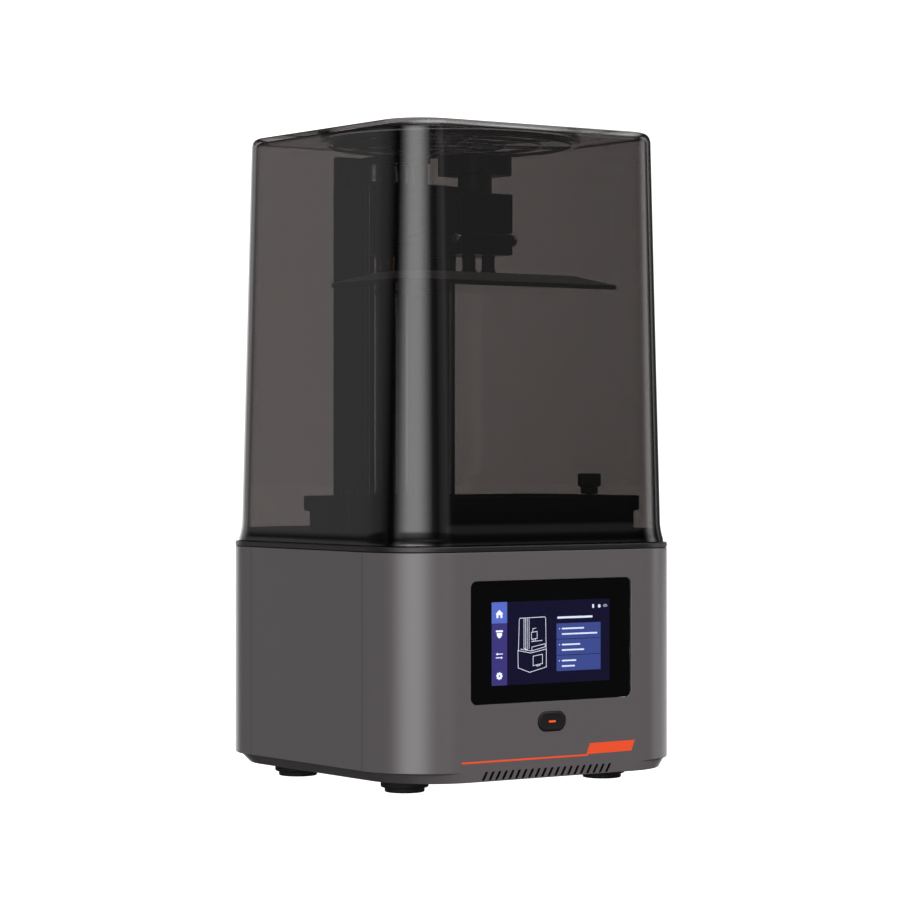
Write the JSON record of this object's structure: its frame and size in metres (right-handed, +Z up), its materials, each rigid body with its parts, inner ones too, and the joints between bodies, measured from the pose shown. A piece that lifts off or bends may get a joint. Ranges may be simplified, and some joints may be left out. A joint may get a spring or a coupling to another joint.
{
  "type": "resin printer",
  "caption": "Desktop resin printer: painted base with touch screen, smoked lift-off cover, resin vat, and a build platform on a screw-driven Z column.",
  "frame": {"origin": "centre of the footprint, on the surface the feet stand on", "axes": "+Z up the height of the printer, +Y from the touch screen at the front towards the Z column at the back, +X to the right seen from the front"},
  "size_m": [0.22, 0.2192, 0.4031],
  "materials": {
    "grey_paint": "fine satin powder coat",
    "black_plastic": "fine texture",
    "dark_steel": "blackened",
    "polished_steel": "ground and polished",
    "aluminium": "fine blasted",
    "black_anodised": "black anodised",
    "smoked_acrylic": "clear smoked, polished",
    "screen_glass": "gloss black glass",
    "display": "lit display",
    "orange_light": "lit light guide",
    "rubber": "matte",
    "brass": "machined",
    "circuit_board": "solder mask",
    "clear_film": "clear"
  },
  "bodies": {
    "base": {"base_front_shell": "grey_paint", "side_panel_left": "grey_paint", "side_panel_right": "grey_paint", "base_rear_shell": "grey_paint", "base_plate": "dark_steel", "foot_front_left": "rubber", "foot_front_right": "rubber", "foot_rear_left": "rubber", "foot_rear_right": "rubber", "deck_plate": "black_plastic", "screen_bezel": "screen_glass", "display_panel": "display", "display_board": "circuit_board", "button_switch": "dark_steel", "mainboard": "circuit_board", "usb_port": "polished_steel", "power_inlet": "black_plastic", "light_fan_frame": "black_plastic", "exhaust_fan_frame": "black_plastic", "light_housing": "black_plastic", "light_lens": "clear_film", "light_board": "aluminium", "heat_sink": "aluminium", "exposure_lcd": "screen_glass", "z_column": "black_anodised", "top_bearing_plate": "black_anodised", "top_bearing": "polished_steel", "guide_rod_left": "polished_steel", "guide_rod_right": "polished_steel", "limit_switch": "black_plastic", "stepper_motor": "dark_steel", "motor_bracket": "aluminium"},
    "cover": {"cover": "smoked_acrylic"},
    "z_carriage": {"carriage": "black_anodised", "lead_nut": "brass", "platform_arm": "black_anodised", "clamp_lower": "black_anodised", "clamp_upper": "black_anodised", "clamp_screw_left": "polished_steel", "clamp_screw_right": "polished_steel", "platform_post_1": "dark_steel", "platform_post_2": "dark_steel", "platform_post_3": "dark_steel", "platform_post_4": "dark_steel", "build_plate": "aluminium"},
    "platform_knob": {"platform_knob": "black_plastic"},
    "lead_screw": {"motor_shaft": "polished_steel", "screw_coupler": "aluminium", "lead_screw": "polished_steel"},
    "vat": {"vat_body": "black_anodised", "vat_film_frame": "aluminium", "vat_film": "clear_film"},
    "vat_thumbscrew_left": {"vat_thumbscrew_left": "black_plastic"},
    "vat_thumbscrew_right": {"vat_thumbscrew_right": "black_plastic"},
    "power_button": {"power_button": "black_plastic", "power_button_light": "orange_light"},
    "light_fan": {"light_fan_rotor": "black_plastic"},
    "exhaust_fan": {"exhaust_fan_rotor": "black_plastic"}
  },
  "joints": [
    {"name": "cover_lift", "type": "slide", "parent": "base", "child": "cover", "axis": [0, 0, 1], "range_m": [0, 0.27]},
    {"name": "z_travel", "type": "slide", "parent": "base", "child": "z_carriage", "axis": [0, 0, 1], "range_m": [-0.155, 0.005]},
    {"name": "lead_screw_spin", "type": "hinge", "parent": "base", "child": "lead_screw", "pos_m": [0, 0.059, 0.2], "axis": [0, 0, 1], "continuous": true},
    {"name": "platform_knob_turn", "type": "hinge", "parent": "z_carriage", "child": "platform_knob", "pos_m": [0, -0.0275, 0.3765], "axis": [0, 0, 1], "range_deg": [0, 1080]},
    {"name": "vat_lift", "type": "slide", "parent": "base", "child": "vat", "axis": [0, 0, 1], "range_m": [0, 0.045]},
    {"name": "vat_thumbscrew_left_turn", "type": "hinge", "parent": "vat", "child": "vat_thumbscrew_left", "pos_m": [-0.092, -0.025, 0.1773], "axis": [0, 0, 1], "range_deg": [0, 1080]},
    {"name": "vat_thumbscrew_right_turn", "type": "hinge", "parent": "vat", "child": "vat_thumbscrew_right", "pos_m": [0.092, -0.025, 0.1773], "axis": [0, 0, 1], "range_deg": [0, 1080]},
    {"name": "power_button_press", "type": "slide", "parent": "base", "child": "power_button", "axis": [0, 1, 0], "range_m": [0, 0.0012], "stiffness_N_per_m": 900},
    {"name": "light_fan_spin", "type": "hinge", "parent": "base", "child": "light_fan", "pos_m": [0, -0.025, 0.0256], "axis": [0, 0, 1], "continuous": true},
    {"name": "exhaust_fan_spin", "type": "hinge", "parent": "base", "child": "exhaust_fan", "pos_m": [-0.032, 0.0985, 0.065], "axis": [0, 1, 0], "continuous": true}
  ],
  "couplings": [
    {"joint": "lead_screw_spin", "follows": "z_travel", "rad_per_m": -1570.8}
  ]
}
